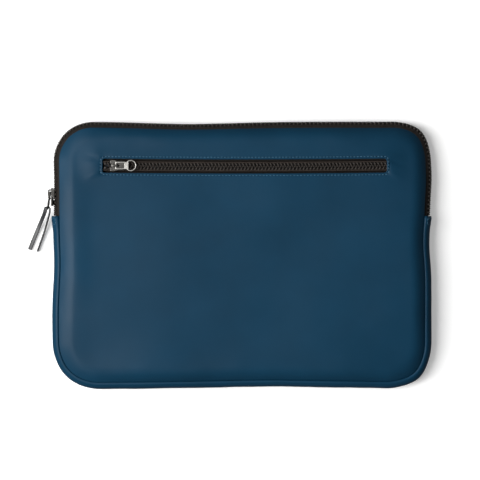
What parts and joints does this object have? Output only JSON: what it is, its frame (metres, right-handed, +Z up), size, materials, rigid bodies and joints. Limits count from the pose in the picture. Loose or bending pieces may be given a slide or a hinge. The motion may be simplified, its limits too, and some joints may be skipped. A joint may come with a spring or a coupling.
{
  "type": "laptop sleeve",
  "caption": "Padded laptop sleeve with a zip round three sides, a zipped front pocket and a leather thong on its main pull tab.",
  "frame": {"origin": "middle of the back panel's resting face", "axes": "+X along the sleeve's width, +Y towards its mouth, +Z up out of the front panel"},
  "size_m": [0.3629, 0.2394, 0.0313],
  "materials": {
    "skin": "smooth matt coated leather look",
    "lining": "brushed knit",
    "foam": "closed-cell foam",
    "tape": "woven polyester",
    "teeth": "moulded",
    "metal": "gunmetal plate",
    "thong": "smooth glazed lace"
  },
  "bodies": {
    "sleeve": {"back_panel": "skin", "back_foam": "foam", "back_lining": "lining", "back_binding": "tape", "back_zip_tape": "tape", "back_zip_teeth": "teeth", "front_panel_lower": "skin", "front_foam_lower": "foam", "front_lining_lower": "lining", "front_binding_lower": "tape", "front_zip_tape_left_end": "tape", "front_zip_tape_right_end": "tape", "front_zip_teeth_left_end": "teeth", "front_zip_teeth_right_end": "teeth", "main_top_stop_front": "teeth", "main_top_stop_back": "teeth", "main_bottom_stop": "teeth", "gusset": "skin", "gusset_lining": "lining", "pocket_bag_front": "lining", "pocket_bag_back_lower": "lining"},
    "front_flap": {"front_panel_upper": "skin", "front_foam_upper": "foam", "front_lining_upper": "lining", "front_binding_upper": "tape", "front_zip_tape": "tape", "front_zip_teeth": "teeth", "pocket_bag_back_upper": "lining", "pocket_zip_tape_lower": "tape", "pocket_zip_tape_upper": "tape", "pocket_teeth_lower": "teeth", "pocket_teeth_upper": "teeth", "pocket_top_stop_lower": "teeth", "pocket_top_stop_upper": "teeth", "pocket_bottom_stop": "teeth"},
    "pocket_slider": {"pocket_slider_body": "metal", "pocket_slider_crown": "metal"},
    "pocket_pull": {"pocket_pull_tab": "metal"},
    "main_slider": {"main_slider_body": "metal", "main_slider_crown": "metal"},
    "main_pull": {"main_pull_tab": "metal"},
    "thong": {"pull_thong": "thong"}
  },
  "joints": [
    {"name": "mouth_fold", "type": "hinge", "parent": "sleeve", "child": "front_flap", "pos_m": [0, 0.066, 0.027], "axis": [1, 0, 0], "range_deg": [0, 60]},
    {"name": "main_slider_travel", "type": "slide", "parent": "sleeve", "child": "main_slider", "axis": [0, 1, 0], "range_m": [-0.009, 0.0055]},
    {"name": "main_pull_swing", "type": "hinge", "parent": "main_slider", "child": "main_pull", "pos_m": [-0.1728, 0.0565, 0.0131], "axis": [0, 0, -1], "range_deg": [0, 150]},
    {"name": "thong_swing", "type": "hinge", "parent": "main_pull", "child": "thong", "pos_m": [-0.17492, 0.0414, 0.0131], "axis": [0, 0, 1], "range_deg": [-30, 10]},
    {"name": "pocket_slider_travel", "type": "slide", "parent": "front_flap", "child": "pocket_slider", "axis": [1, 0, 0], "range_m": [-0.0027, 0.2335]},
    {"name": "pocket_pull_flip", "type": "hinge", "parent": "pocket_slider", "child": "pocket_pull", "pos_m": [-0.1128, 0.08, 0.0293], "axis": [0, -1, 0], "range_deg": [0, 180]}
  ]
}
